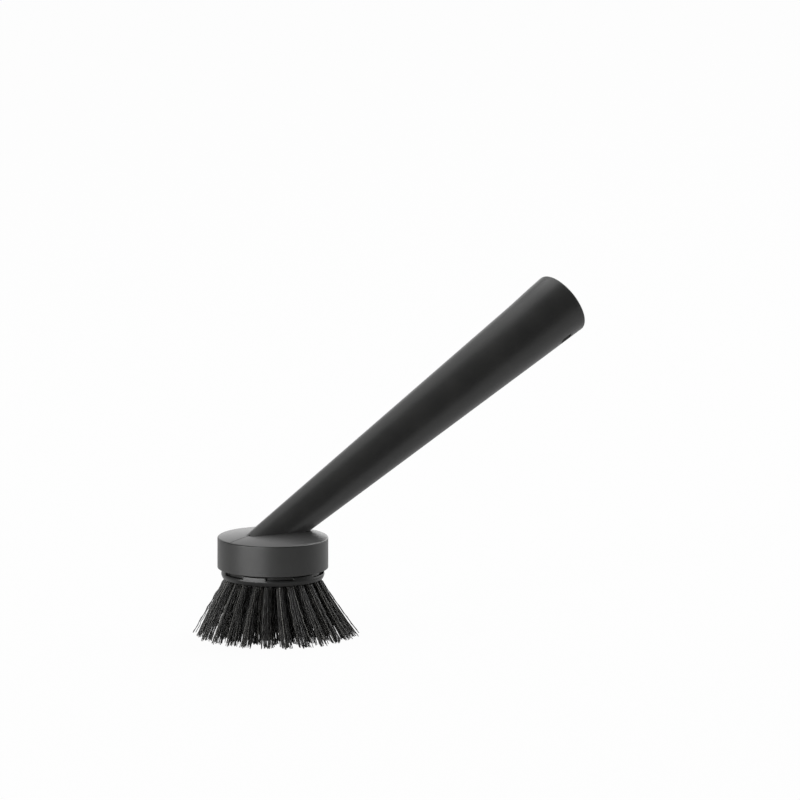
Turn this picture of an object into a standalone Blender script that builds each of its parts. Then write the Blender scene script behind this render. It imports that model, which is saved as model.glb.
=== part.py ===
# Dish brush: a tapered hollow handle moulded in one with its drum-shaped head, a plug in the handle's
# end, and a tufted refill that twists into the head with a bayonet lock.
#
# Metres, +Z up. The origin lies on the head's axis, in the plane of the trimmed bristle tips that the
# brush stands on. +X runs along the handle, and the XZ plane is the brush's plane of symmetry.

from math import ceil, cos, pi, radians, sin

import bmesh
import bpy
from mathutils import Matrix, Vector

# Clearances, and how far joined shapes and cutters run past one another
GAP = 0.0003
OVERLAP = 0.0004
OVERRUN = 0.003

# Head: a drum with a crowned top, open below
HEAD_RADIUS = 0.0275
HEAD_WALL = 0.0026
HEAD_HEIGHT = 0.01565
HEAD_RIM_ROUND = 0.0006
CROWN_RISE = 0.0030
CROWN_THICKNESS = 0.0026

# Refill: the round block that carries the bristles, from its face up to the hub in the head
FACE_HEIGHT = 0.0288
FACE_CROWN = 0.0012
FLANGE_INSET = 0.00195
FLANGE_ROUND = 0.0020
LIP_HEIGHT = 0.0013
PAD_HEIGHT = 0.00195
PAD_DEPTH = 0.0011
PAD_SETBACK = 0.0001
PAD_COUNT = 6
PAD_SPAN = radians(26)
PAD_START = radians(30)
HUB_HEADROOM = 0.0014
HUB_EDGE = 0.0008

# Bayonet: lugs on the hub pass up between ledges in the head, then turn over them to a stop
LUG_COUNT = 3
LUG_SPAN = radians(34)
LUG_REACH = 0.0023
LUG_THICKNESS = 0.0022
LUG_START = radians(60)
LEDGE_THICKNESS = 0.0022
LEDGE_SETBACK = 0.0020
LOCK_CLEARANCE = 0.0005
STOP_SPAN = radians(4)
STOP_SETBACK = 0.0003

# Handle: a hollow cone whose axis crosses the head's axis just above the rim
HANDLE_RISE = radians(27.5)
HANDLE_CROSSING = 0.0004
HANDLE_LENGTH = 0.2071
HANDLE_ROOT_RADIUS = 0.00864
HANDLE_END_RADIUS = 0.01572
HANDLE_END_ROUND = 0.0012
HANDLE_WALL = 0.0015
HANDLE_ROOT_LENGTH = 0.0170
BORE_START = 0.0180
BORE_START_ROUND = 0.0030

# Hanging slot across the underside of the handle, near its end
SLOT_LENGTH = 0.0066
SLOT_WIDTH = 0.0170
SLOT_END_FLAT = 0.0006
SLOT_FROM_END = 0.0112
SLOT_CUT_DEPTH = 0.0090

# End cap: a tapered plug in the mouth of the handle's bore
CAP_RECESS = 0.0005
CAP_THICKNESS = 0.0014
CAP_SKIRT_DEPTH = 0.0045
CAP_SKIRT_WALL = 0.0012
CAP_EDGE = 0.0003

# Plastics: base colour and roughness
HANDLE_PLASTIC = ((0.035, 0.035, 0.034), 0.42)
CAP_PLASTIC = ((0.032, 0.032, 0.032), 0.48)
BLOCK_PLASTIC = ((0.028, 0.028, 0.027), 0.50)
BRISTLE_PLASTIC = ((0.010, 0.010, 0.010), 0.35)

# Tufts: bundles of bristles that fan out from holes drilled in the block's face
TUFT_EDGE_MARGIN = 0.00125
OUTER_RING_TILT = radians(26.5)
TUFT_HOLE_RADIUS = 0.0018
TUFT_HOLE_DEPTH = 0.0045
TUFT_SLICE_THICKNESS = 0.0015
TUFT_BASE_RADIUS = 0.00092
TUFT_FAN = radians(3.8)
STRAND_ROOT_RADIUS = 0.00042
STRAND_TIP_RADIUS = 0.00036
STRANDS_AROUND = 6
STRAND_SIDES = 3
TIP_TRIM = 0.0005
TIP_STAGGER = 0.0009

# The core is the one slice that carries the innermost tufts
CORE_MARGIN = 0.0022
CORE_SLICE_THICKNESS = 0.0020

# Rings of tufts: name, count, share of the outer ring's radius and tilt, share of a pitch it is turned by
TUFT_RING_SHARES = [
    ("tuft_outer", 24, 1.0, 0.0),
    ("tuft_middle", 18, 0.75, 0.5),
    ("tuft_inner", 12, 0.5, 0.0),
]
CORE_RING_SHARES = [(6, 0.25, 0.5), (1, 0.0, 0.0)]

# Facets, the distance within which points merge, and the angle up to which faces shade as one
MERGE_DISTANCE = 0.00001
SMOOTH_ANGLE = radians(35)
HEAD_STEPS = 72
HANDLE_STEPS = 48
ARC_FACET = radians(6)
CORNER_STEPS = 6
ROUND_STEPS = 3
CROWN_STEPS = 6
HOLE_SIDES = 10
CORE_SIDES = 24

# Heights, radii and angles that follow from the sizes above
LIP_BOTTOM = FACE_HEIGHT + FLANGE_ROUND
LIP_TOP = LIP_BOTTOM + LIP_HEIGHT
FLANGE_TOP = LIP_TOP + PAD_HEIGHT
HEAD_MOUTH = FLANGE_TOP + GAP
HEAD_RIM = HEAD_MOUTH + HEAD_HEIGHT
HEAD_CEILING = HEAD_RIM - CROWN_THICKNESS
HUB_TOP = HEAD_CEILING - HUB_HEADROOM
FLANGE_RADIUS = HEAD_RADIUS - FLANGE_INSET
FACE_RADIUS = FLANGE_RADIUS - FLANGE_ROUND
OUTER_RING_RADIUS = FACE_RADIUS - TUFT_EDGE_MARGIN
CAVITY_RADIUS = HEAD_RADIUS - HEAD_WALL
LUG_RADIUS = CAVITY_RADIUS - LOCK_CLEARANCE
HUB_RADIUS = LUG_RADIUS - LUG_REACH
LEDGE_RADIUS = HUB_RADIUS + LOCK_CLEARANCE
STOP_TURN = (LUG_SPAN + STOP_SPAN) / 2 + GAP / LUG_RADIUS
LEDGE_SPAN = 2 * (STOP_TURN + STOP_SETBACK / LEDGE_RADIUS) + STOP_SPAN
LEDGE_BOTTOM = HEAD_MOUTH + LEDGE_SETBACK
LEDGE_TOP = LEDGE_BOTTOM + LEDGE_THICKNESS
LUG_BOTTOM = LEDGE_TOP + GAP
LUG_TOP = LUG_BOTTOM + LUG_THICKNESS
AXIS_HEIGHT = HEAD_RIM + HANDLE_CROSSING
HANDLE_TAPER = (HANDLE_END_RADIUS - HANDLE_ROOT_RADIUS) / HANDLE_LENGTH


# Objects, collections and materials

def clear_scene():
    for obj in list(bpy.data.objects):
        bpy.data.objects.remove(obj, do_unlink=True)


def add_collection(name):
    collection = bpy.data.collections.new(name)
    bpy.context.scene.collection.children.link(collection)
    return collection


def plastic(name, colour, roughness):
    material = bpy.data.materials.new(name)
    material.use_nodes = True
    shader = material.node_tree.nodes["Principled BSDF"]
    shader.inputs["Base Color"].default_value = (*colour, 1.0)
    shader.inputs["Roughness"].default_value = roughness
    shader.inputs["Metallic"].default_value = 0.0
    material.diffuse_color = (*colour, 1.0)
    return material


def add_object(name, mesh, collection):
    obj = bpy.data.objects.new(name, mesh)
    collection.objects.link(obj)
    return obj


def add_empty(name, collection, location=(0, 0, 0), rotation=(0, 0, 0)):
    empty = add_object(name, None, collection)
    empty.location = location
    empty.rotation_euler = rotation
    return empty


def mesh_from(bm, name):
    mesh = bpy.data.meshes.new(name)
    bm.to_mesh(mesh)
    bm.free()
    return mesh


# Shapes

def arc(centre, radius, start, end, steps):
    # Points of an arc in a profile, as (radius from the axis, height)
    points = []
    for step in range(steps + 1):
        angle = start + (end - start) * step / steps
        points.append((centre[0] + radius * cos(angle), centre[1] + radius * sin(angle)))
    return points


def crown(edge_radius, edge_height, rise, steps):
    # Points of a shallow crown from its middle out to just before its edge
    points = []
    for step in range(steps):
        share = step / steps
        points.append((edge_radius * share, edge_height + rise * (1 - share * share)))
    return points


def turned(name, profile, collection, steps, facet_turn=0.0):
    # A profile of (radius, height) points, turned about Z. It runs down the outer side, and starts a
    # share of a facet off the XZ plane, so that the edges of two shapes that are combined don't meet.
    start = Matrix.Rotation(facet_turn * 2 * pi / steps, 4, "Z")
    bm = bmesh.new()
    verts = [bm.verts.new(start @ Vector((radius, 0, height))) for radius, height in profile]
    for first, second in zip(verts, verts[1:]):
        bm.edges.new((first, second))
    obj = add_object(name, mesh_from(bm, name), collection)
    screw = obj.modifiers.new("Turn", "SCREW")
    screw.axis = "Z"
    screw.angle = 2 * pi
    screw.steps = steps
    screw.render_steps = steps
    screw.use_merge_vertices = True
    screw.merge_threshold = MERGE_DISTANCE
    return obj


def add_arc_block(bm, inner, outer, bottom, top, middle, span):
    # A block that follows a circle about Z between two radii and two heights
    start = Matrix.Rotation(middle - span / 2, 4, "Z")
    steps = ceil(span / ARC_FACET)
    corners = [(inner, 0, bottom), (outer, 0, bottom), (outer, 0, top), (inner, 0, top)]
    face = bm.faces.new([bm.verts.new(start @ Vector(corner)) for corner in corners])
    swept = list(face.verts) + list(face.edges) + [face]
    bmesh.ops.spin(bm, geom=swept, cent=(0, 0, 0), axis=(0, 0, 1), angle=span, steps=steps)


def arc_blocks(name, blocks, collection):
    bm = bmesh.new()
    for block in blocks:
        add_arc_block(bm, *block)
    bmesh.ops.recalc_face_normals(bm, faces=bm.faces)
    return add_object(name, mesh_from(bm, name), collection)


def around(count, start=0.0):
    return [start + 2 * pi * index / count for index in range(count)]


def combine(obj, operand, operation):
    modifier = obj.modifiers.new(operand.name, "BOOLEAN")
    modifier.operation = operation
    modifier.object = operand
    operand.hide_render = True
    operand.display_type = "WIRE"


def evaluated_mesh(obj):
    bpy.context.view_layer.update()
    return bpy.data.meshes.new_from_object(obj.evaluated_get(bpy.context.evaluated_depsgraph_get()))


def finish(obj, material):
    # Makes the modified shape the object's own mesh, with its material and smooth round sides
    mesh = evaluated_mesh(obj)
    obj.modifiers.clear()
    obj.data = mesh
    mesh.name = obj.name
    mesh.materials.clear()
    mesh.materials.append(material)
    mesh.shade_smooth()
    mesh.set_sharp_from_angle(angle=SMOOTH_ANGLE)


# Handle and head

def handle_radius(distance):
    # Outer radius of the handle at a distance along its axis from the head's axis
    return HANDLE_ROOT_RADIUS + HANDLE_TAPER * distance


def bore_radius(distance):
    return handle_radius(distance) - HANDLE_WALL


def head_solid(collection):
    crown_radius = HEAD_RADIUS - HEAD_RIM_ROUND
    profile = crown(crown_radius, HEAD_RIM, CROWN_RISE, CROWN_STEPS)
    rim_centre = (crown_radius, HEAD_RIM - HEAD_RIM_ROUND)
    profile += arc(rim_centre, HEAD_RIM_ROUND, pi / 2, 0, ROUND_STEPS)
    profile += [(HEAD_RADIUS, HEAD_MOUTH), (0, HEAD_MOUTH)]
    return turned("handle", profile, collection, HEAD_STEPS)


def head_cavity(collection):
    mouth = HEAD_MOUTH - OVERRUN
    profile = crown(CAVITY_RADIUS, HEAD_CEILING, CROWN_RISE, CROWN_STEPS)
    profile += [(CAVITY_RADIUS, HEAD_CEILING), (CAVITY_RADIUS, mouth), (0, mouth)]
    return turned("head_cavity", profile, collection, HEAD_STEPS, facet_turn=0.5)


def handle_cone(collection):
    # The hollow cone: up the bore, over the rounded end, and down the outside to the root
    bore_centre = (bore_radius(BORE_START) - BORE_START_ROUND, BORE_START + BORE_START_ROUND)
    end_centre = (HANDLE_END_RADIUS - HANDLE_END_ROUND, HANDLE_LENGTH - HANDLE_END_ROUND)
    profile = [(0, BORE_START)]
    profile += arc(bore_centre, BORE_START_ROUND, -pi / 2, 0, ROUND_STEPS)
    profile += [(bore_radius(HANDLE_LENGTH), HANDLE_LENGTH)]
    profile += arc(end_centre, HANDLE_END_ROUND, pi / 2, 0, ROUND_STEPS)
    profile += [(handle_radius(-HANDLE_ROOT_LENGTH), -HANDLE_ROOT_LENGTH), (0, -HANDLE_ROOT_LENGTH)]
    return turned("handle_cone", profile, collection, HANDLE_STEPS)


def hanging_slot(collection):
    # A block with fully rounded ends that cuts the underside wall only
    bm = bmesh.new()
    bmesh.ops.create_cube(bm, size=1.0)
    bmesh.ops.scale(bm, vec=(SLOT_CUT_DEPTH, SLOT_WIDTH, SLOT_LENGTH), verts=bm.verts)
    corners = [edge for edge in bm.edges if edge.verts[0].co.x * edge.verts[1].co.x < 0]
    end_round = (SLOT_LENGTH - SLOT_END_FLAT) / 2
    bmesh.ops.bevel(bm, geom=corners, offset=end_round, segments=CORNER_STEPS, profile=0.5, affect="EDGES")
    obj = add_object("hanging_slot", mesh_from(bm, "hanging_slot"), collection)
    distance = HANDLE_LENGTH - SLOT_FROM_END
    obj.location = (handle_radius(distance), 0, distance)
    return obj


def ledges(collection):
    # Ledges inside the mouth of the head, which the lugs turn over
    outer = CAVITY_RADIUS + OVERLAP
    blocks = []
    for middle in around(LUG_COUNT, LUG_START):
        blocks.append((LEDGE_RADIUS, outer, LEDGE_BOTTOM, LEDGE_TOP, middle, LEDGE_SPAN))
    return arc_blocks("ledges", blocks, collection)


def stops(collection):
    # A stop on one end of each ledge, where the turn ends
    inner = LEDGE_RADIUS + STOP_SETBACK
    outer = CAVITY_RADIUS + OVERLAP
    blocks = []
    for middle in around(LUG_COUNT, LUG_START + STOP_TURN):
        blocks.append((inner, outer, LEDGE_TOP - OVERLAP, LUG_TOP, middle, STOP_SPAN))
    return arc_blocks("stops", blocks, collection)


def make_handle(collection, cutters, axis, material):
    handle = head_solid(collection)
    cone = handle_cone(cutters)
    slot = hanging_slot(cutters)
    cone.parent = axis
    slot.parent = axis
    combine(cone, slot, "DIFFERENCE")
    combine(handle, cone, "UNION")
    combine(handle, head_cavity(cutters), "DIFFERENCE")
    combine(handle, ledges(cutters), "UNION")
    combine(handle, stops(cutters), "UNION")
    finish(handle, material)


def make_end_cap(collection, axis, material):
    outer_face = HANDLE_LENGTH - CAP_RECESS
    inner_face = outer_face - CAP_THICKNESS
    skirt_end = outer_face - CAP_SKIRT_DEPTH
    top_radius = bore_radius(outer_face) - GAP
    end_radius = bore_radius(skirt_end) - GAP
    profile = [
        (0, outer_face),
        (top_radius - CAP_EDGE, outer_face),
        (top_radius, outer_face - CAP_EDGE),
        (end_radius, skirt_end),
        (end_radius - CAP_SKIRT_WALL, skirt_end),
        (end_radius - CAP_SKIRT_WALL, inner_face),
        (0, inner_face),
    ]
    cap = turned("end_cap", profile, collection, HANDLE_STEPS)
    finish(cap, material)
    cap.parent = axis


# Refill block

def face_height(radius):
    # Height of the block's crowned face over the plane of the bristle tips
    share = radius / FACE_RADIUS
    return FACE_HEIGHT - FACE_CROWN * (1 - share * share)


def block_solid(collection):
    groove_radius = FLANGE_RADIUS - PAD_DEPTH
    profile = [
        (0, HUB_TOP),
        (HUB_RADIUS - HUB_EDGE, HUB_TOP),
        (HUB_RADIUS, HUB_TOP - HUB_EDGE),
        (HUB_RADIUS, FLANGE_TOP),
        (groove_radius, FLANGE_TOP),
        (groove_radius, LIP_TOP),
        (FLANGE_RADIUS, LIP_TOP),
    ]
    profile += arc((FACE_RADIUS, LIP_BOTTOM), FLANGE_ROUND, 0, -pi / 2, ROUND_STEPS)
    for step in range(CROWN_STEPS - 1, -1, -1):
        radius = FACE_RADIUS * step / CROWN_STEPS
        profile.append((radius, face_height(radius)))
    return turned("refill_block", profile, collection, HEAD_STEPS, facet_turn=0.5)


def pads_and_lugs(collection):
    inner = FLANGE_RADIUS - PAD_DEPTH - OVERLAP
    outer = FLANGE_RADIUS - PAD_SETBACK
    blocks = []
    for middle in around(PAD_COUNT, PAD_START):
        blocks.append((inner, outer, LIP_TOP - OVERLAP, FLANGE_TOP, middle, PAD_SPAN))
    for middle in around(LUG_COUNT, LUG_START):
        blocks.append((HUB_RADIUS - OVERLAP, LUG_RADIUS, LUG_BOTTOM, LUG_TOP, middle, LUG_SPAN))
    return arc_blocks("pads_and_lugs", blocks, collection)


def core_radius():
    ring_share = CORE_RING_SHARES[0][1]
    return OUTER_RING_RADIUS * ring_share + CORE_MARGIN


def core_slice_top():
    return face_height(0) + CORE_SLICE_THICKNESS


def tuft_frame(share, azimuth):
    # Where a tuft leaves the face: its origin is in the hole's mouth, and it grows along its own -Z
    radius = OUTER_RING_RADIUS * share
    place = Matrix.Translation((radius, 0, face_height(radius)))
    lean = Matrix.Rotation(-OUTER_RING_TILT * share, 4, "Y")
    return Matrix.Rotation(azimuth, 4, "Z") @ place @ lean


def ring_azimuths(count, turn_share):
    return around(count, 2 * pi / count * turn_share)


def tuft_holes(collection):
    bm = bmesh.new()
    depth = TUFT_HOLE_DEPTH + OVERRUN
    middle = Matrix.Translation((0, 0, TUFT_HOLE_DEPTH - depth / 2))
    for name, count, share, turn_share in TUFT_RING_SHARES:
        for azimuth in ring_azimuths(count, turn_share):
            bmesh.ops.create_cone(
                bm, cap_ends=True, segments=HOLE_SIDES, radius1=TUFT_HOLE_RADIUS, radius2=TUFT_HOLE_RADIUS,
                depth=depth, matrix=tuft_frame(share, azimuth) @ middle)
    return add_object("tuft_holes", mesh_from(bm, "tuft_holes"), collection)


def core_pocket(collection):
    top = core_slice_top() + GAP
    bottom = face_height(0) - OVERRUN
    radius = core_radius() + GAP
    profile = [(0, top), (radius, top), (radius, bottom), (0, bottom)]
    return turned("core_pocket", profile, collection, CORE_SIDES)


def make_refill_block(collection, cutters, axis, material):
    block = block_solid(collection)
    combine(block, pads_and_lugs(cutters), "UNION")
    combine(block, tuft_holes(cutters), "DIFFERENCE")
    combine(block, core_pocket(cutters), "DIFFERENCE")
    finish(block, material)
    block.parent = axis


# Tufts

def add_strand(bm, frame, to_local, root_height, azimuth, base_radius, fan, tip_height):
    # One bristle from just inside its slice to a height over the tip plane
    place = Matrix.Rotation(azimuth, 4, "Z") @ Matrix.Translation((base_radius, 0, root_height))
    strand = frame @ place @ Matrix.Rotation(-fan, 4, "Y")
    root = strand.translation
    fall = -(strand.to_3x3() @ Vector((0, 0, -1))).z
    length = (root.z - tip_height) / fall
    middle = Matrix.Translation((0, 0, -length / 2))
    bmesh.ops.create_cone(
        bm, cap_ends=True, segments=STRAND_SIDES, radius1=STRAND_TIP_RADIUS, radius2=STRAND_ROOT_RADIUS,
        depth=length, matrix=to_local @ strand @ middle)


def add_bundle(bm, frame, to_local, slice_face):
    # A straight bristle in the middle and a ring that fans out round it. Every other one stops short.
    root_height = slice_face + OVERLAP
    add_strand(bm, frame, to_local, root_height, 0.0, 0.0, 0.0, -TIP_TRIM)
    for index, azimuth in enumerate(around(STRANDS_AROUND)):
        tip_height = -TIP_TRIM if index % 2 == 0 else TIP_STAGGER
        add_strand(bm, frame, to_local, root_height, azimuth, TUFT_BASE_RADIUS, TUFT_FAN, tip_height)


def trim(mesh, plane_point, plane_normal):
    # Cuts the tips off flat where they reach past the plane
    bm = bmesh.new()
    bm.from_mesh(mesh)
    everything = list(bm.verts) + list(bm.edges) + list(bm.faces)
    bmesh.ops.bisect_plane(
        bm, geom=everything, dist=0.0, plane_co=plane_point, plane_no=plane_normal, clear_outer=True)
    open_edges = [edge for edge in bm.edges if edge.is_boundary]
    bmesh.ops.holes_fill(bm, edges=open_edges, sides=0)
    bmesh.ops.recalc_face_normals(bm, faces=bm.faces)
    bm.to_mesh(mesh)
    bm.free()


def tuft_mesh(name, share, collection):
    # The tuft of one ring in its own frame, joined to its slice and trimmed to the tip plane
    frame = tuft_frame(share, 0.0)
    to_local = frame.inverted()
    slice_top = TUFT_HOLE_DEPTH - GAP
    slice_face = slice_top - TUFT_SLICE_THICKNESS
    slice_radius = TUFT_HOLE_RADIUS - GAP

    bm = bmesh.new()
    add_bundle(bm, frame, to_local, slice_face)
    bundle = add_object("bundle", mesh_from(bm, "bundle"), collection)

    bm = bmesh.new()
    bmesh.ops.create_cone(
        bm, cap_ends=True, segments=HOLE_SIDES, radius1=slice_radius, radius2=slice_radius,
        depth=TUFT_SLICE_THICKNESS, matrix=Matrix.Translation((0, 0, (slice_top + slice_face) / 2)))
    backing = add_object(name, mesh_from(bm, name), collection)

    combine(backing, bundle, "UNION")
    mesh = evaluated_mesh(backing)
    bpy.data.objects.remove(backing)
    bpy.data.objects.remove(bundle)
    trim(mesh, to_local @ Vector((0, 0, 0)), to_local.to_3x3() @ Vector((0, 0, -1)))
    return mesh


def make_tuft_ring(name, count, share, turn_share, collection, cutters, axis, material):
    mesh = tuft_mesh(name, share, cutters)
    mesh.name = name
    mesh.materials.append(material)
    for index, azimuth in enumerate(ring_azimuths(count, turn_share), start=1):
        tuft = add_object(f"{name}_{index:02d}", mesh, collection)
        frame = tuft_frame(share, azimuth)
        tuft.location = frame.translation
        tuft.rotation_euler = (0, -OUTER_RING_TILT * share, azimuth)
        tuft.parent = axis


def make_core(collection, cutters, axis, material):
    top = core_slice_top()
    bottom = face_height(0)
    radius = core_radius()
    profile = [(0, top), (radius, top), (radius, bottom), (0, bottom)]
    core = turned("tuft_core", profile, collection, CORE_SIDES)
    bm = bmesh.new()
    for count, share, turn_share in CORE_RING_SHARES:
        for azimuth in ring_azimuths(count, turn_share):
            frame = tuft_frame(share, azimuth)
            slice_face = bottom - frame.translation.z
            add_bundle(bm, frame, Matrix.Identity(4), slice_face)
    bundles = add_object("core_bundles", mesh_from(bm, "core_bundles"), cutters)
    combine(core, bundles, "UNION")
    finish(core, material)
    bpy.data.objects.remove(bundles)
    trim(core.data, Vector((0, 0, 0)), Vector((0, 0, -1)))
    core.parent = axis


def main():
    clear_scene()
    brush = add_collection("dish_brush")
    cutters = add_collection("cutters")

    handle_plastic = plastic("handle_plastic", *HANDLE_PLASTIC)
    cap_plastic = plastic("cap_plastic", *CAP_PLASTIC)
    block_plastic = plastic("block_plastic", *BLOCK_PLASTIC)
    bristle_plastic = plastic("bristle_plastic", *BRISTLE_PLASTIC)

    handle_axis = add_empty(
        "handle_axis", brush, location=(0, 0, AXIS_HEIGHT), rotation=(0, pi / 2 - HANDLE_RISE, 0))
    make_handle(brush, cutters, handle_axis, handle_plastic)
    make_end_cap(brush, handle_axis, cap_plastic)

    refill_axis = add_empty("refill_axis", brush)
    make_refill_block(brush, cutters, refill_axis, block_plastic)
    for name, count, share, turn_share in TUFT_RING_SHARES:
        make_tuft_ring(name, count, share, turn_share, brush, cutters, refill_axis, bristle_plastic)
    make_core(brush, cutters, refill_axis, bristle_plastic)


main()
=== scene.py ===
import math
import random

import bmesh
import bpy
import numpy as np
from mathutils import Matrix, Vector


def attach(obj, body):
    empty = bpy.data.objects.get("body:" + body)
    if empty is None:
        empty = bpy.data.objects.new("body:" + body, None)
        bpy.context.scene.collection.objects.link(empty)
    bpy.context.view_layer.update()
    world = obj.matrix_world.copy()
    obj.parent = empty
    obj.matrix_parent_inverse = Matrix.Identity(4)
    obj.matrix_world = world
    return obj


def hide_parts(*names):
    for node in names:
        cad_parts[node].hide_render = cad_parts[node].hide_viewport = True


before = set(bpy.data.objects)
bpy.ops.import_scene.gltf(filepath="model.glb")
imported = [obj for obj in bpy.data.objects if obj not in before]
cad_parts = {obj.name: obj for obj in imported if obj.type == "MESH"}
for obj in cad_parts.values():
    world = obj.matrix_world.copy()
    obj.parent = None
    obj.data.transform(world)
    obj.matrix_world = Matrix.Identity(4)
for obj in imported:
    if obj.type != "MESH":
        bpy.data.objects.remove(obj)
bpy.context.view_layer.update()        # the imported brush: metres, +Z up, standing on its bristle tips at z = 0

print("frame loaded:", len(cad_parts), "nodes")


# selecting and editing, as by hand

tolerance = {
    "sameHeight": 2e-5,        # two heights this near are one
    "facing": 0.9,             # the least share of a normal along z for a face that looks up or down
    "upright": 0.1,            # and the most for a face of a wall
    "centred": 0.001,          # a face whose middle is this near to the axis is on it
    "doubles": 2e-6,           # points that Booleans left on top of each other
    "spinDoubles": 1e-6,
    "softAngle": 32.0,         # edges below this many degrees are shaded smooth
}


def deselectAll():
    if bpy.context.object and bpy.context.object.mode != "OBJECT":
        bpy.ops.object.mode_set(mode="OBJECT")
    bpy.ops.object.select_all(action="DESELECT")


def makeActive(piece):
    deselectAll()
    piece.select_set(True)
    bpy.context.view_layer.objects.active = piece


def takeNew(name):
    # the primitive that was just added, under its own name
    piece = bpy.context.object
    piece.name = name
    piece.data.name = name
    return piece


def startEdit(piece):
    makeActive(piece)
    bpy.ops.object.mode_set(mode="EDIT")
    bpy.ops.mesh.select_all(action="DESELECT")


def endEdit():
    bpy.ops.object.mode_set(mode="OBJECT")


def near(value, target):
    return abs(value - target) < tolerance["sameHeight"]


def flatDistance(point):
    return math.hypot(point.x, point.y)


def pickWhere(kind, test):
    # selects the faces or edges that pass the test, and nothing else
    bpy.ops.mesh.select_mode(type=kind)
    bpy.ops.mesh.select_all(action="DESELECT")
    mesh = bpy.context.object.data
    bm = bmesh.from_edit_mesh(mesh)
    for element in (bm.faces if kind == "FACE" else bm.edges):
        element.select = bool(test(element))
    bm.select_flush_mode()
    bmesh.update_edit_mesh(mesh)


def pickFaces(test):
    # the test takes a face's middle and its normal
    pickWhere("FACE", lambda face: test(face.calc_center_median(), face.normal))


def pickFlat(z, up=1, also=lambda middle: True):
    # the faces at one height that look up, or down where up is -1
    facing = tolerance["facing"]
    pickFaces(lambda middle, normal: near(middle.z, z) and normal.z * up > facing and also(middle))


def pickEdges(test):
    # the test takes an edge's two ends
    pickWhere("EDGE", lambda edge: test(edge.verts[0].co, edge.verts[1].co))


def pickRim(z, also=lambda a, b: True):
    # the edges that lie at one height
    pickEdges(lambda a, b: near(a.z, z) and near(b.z, z) and also(a, b))


def slide(x=0.0, z=0.0):
    bpy.ops.transform.translate(value=(x, 0.0, z))


def pull(x=0.0, z=0.0):
    bpy.ops.mesh.extrude_region_move(TRANSFORM_OT_translate={"value": (x, 0.0, z)})


def widen(share, z=0.0):
    # scales the selection about the piece's own axis
    bpy.ops.transform.resize(value=(share, share, 1.0), center_override=(0.0, 0.0, z))


def roundEdges(offset, steps):
    bpy.ops.mesh.bevel(offset=offset, segments=steps, profile=0.5, affect="EDGES")


def placeInMesh(piece):
    makeActive(piece)
    bpy.ops.object.transform_apply(location=True, rotation=True, scale=True)


def combine(piece, tool, operation):
    # a Boolean that is applied at once; the tool goes
    placeInMesh(tool)
    makeActive(piece)
    modifier = piece.modifiers.new("combine", "BOOLEAN")
    modifier.operation = operation
    modifier.solver = "EXACT"
    modifier.object = tool
    bpy.ops.object.modifier_apply(modifier=modifier.name)
    bpy.data.objects.remove(tool, do_unlink=True)


def cleanUp(piece):
    # merges what the Booleans left on top of itself
    startEdit(piece)
    bpy.ops.mesh.select_all(action="SELECT")
    bpy.ops.mesh.remove_doubles(threshold=tolerance["doubles"])
    bpy.ops.mesh.dissolve_degenerate(threshold=tolerance["doubles"])
    endEdit()


def shadeRound(piece):
    makeActive(piece)
    bpy.ops.object.shade_smooth_by_angle(angle=math.radians(tolerance["softAngle"]))
    # a flat wall stays flat up to its rounded edge
    modifier = piece.modifiers.new("wallShading", "WEIGHTED_NORMAL")
    modifier.keep_sharp = True
    bpy.ops.object.modifier_apply(modifier=modifier.name)


def finishPiece(piece, material, body, nodes):
    piece.data.materials.clear()
    piece.data.materials.append(material)
    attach(piece, body)
    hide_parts(*nodes)


# shader maths: a socket that can be added, multiplied and so on

class Wire:
    def __init__(self, tree, socket):
        self.tree = tree
        self.socket = socket

    def outlet(self, name):
        # another outlet of the same node
        return Wire(self.tree, self.socket.node.outputs[name])

    def math(self, operation, other=None, flipped=False):
        first, second = (other, self) if flipped else (self, other)
        inputs = {"i0": first}
        if second is not None:
            inputs["i1"] = second
        return addNode(self.tree, "ShaderNodeMath", {"operation": operation}, **inputs)

    def __add__(self, other):
        return self.math("ADD", other)

    def __radd__(self, other):
        return self.math("ADD", other, True)

    def __sub__(self, other):
        return self.math("SUBTRACT", other)

    def __rsub__(self, other):
        return self.math("SUBTRACT", other, True)

    def __mul__(self, other):
        return self.math("MULTIPLY", other)

    def __rmul__(self, other):
        return self.math("MULTIPLY", other, True)

    def clamp(self):
        return self.math("MAXIMUM", 0.0).math("MINIMUM", 1.0)

    def ramp(self, low, high):
        # 0 below low, 1 above high, smooth between
        return addNode(self.tree, "ShaderNodeMapRange", {"interpolation_type": "SMOOTHSTEP"},
                       i0=self, i1=low, i2=high)


def addNode(tree, kind, settings=None, outlet=0, **inputs):
    # settings are set first; inputs are named, or i0, i1 and so on by number
    made = tree.nodes.new(kind)
    for key, value in (settings or {}).items():
        setattr(made, key, value)
    for key, value in inputs.items():
        numbered = key[0] == "i" and key[1:].isdigit()
        place = made.inputs[int(key[1:]) if numbered else key]
        if isinstance(value, Wire):
            tree.links.new(value.socket, place)
        else:
            place.default_value = value
    return Wire(tree, made.outputs[outlet]) if made.outputs else None


def addNoise(tree, place, scale, detail, roughness):
    return addNode(tree, "ShaderNodeTexNoise", i0=place, Scale=scale, Detail=detail, Roughness=roughness)


def mixColours(tree, share, dark, light):
    return addNode(tree, "ShaderNodeMix", {"data_type": "RGBA"}, outlet=2,
                   i0=share, i6=(*dark, 1.0), i7=(*light, 1.0))


def rayKinds(tree):
    # 1 for what the camera sees, and 1 for what gloss and glass show
    seen = addNode(tree, "ShaderNodeLightPath", outlet="Is Camera Ray")
    return seen, seen.outlet("Is Glossy Ray") + seen.outlet("Is Transmission Ray")


def newMaterial(name):
    material = bpy.data.materials.new(name)
    material.use_nodes = True
    tree = material.node_tree
    shader = tree.nodes["Principled BSDF"]
    return material, tree, shader


def plug(wire, place):
    wire.tree.links.new(wire.socket, place)


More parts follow.
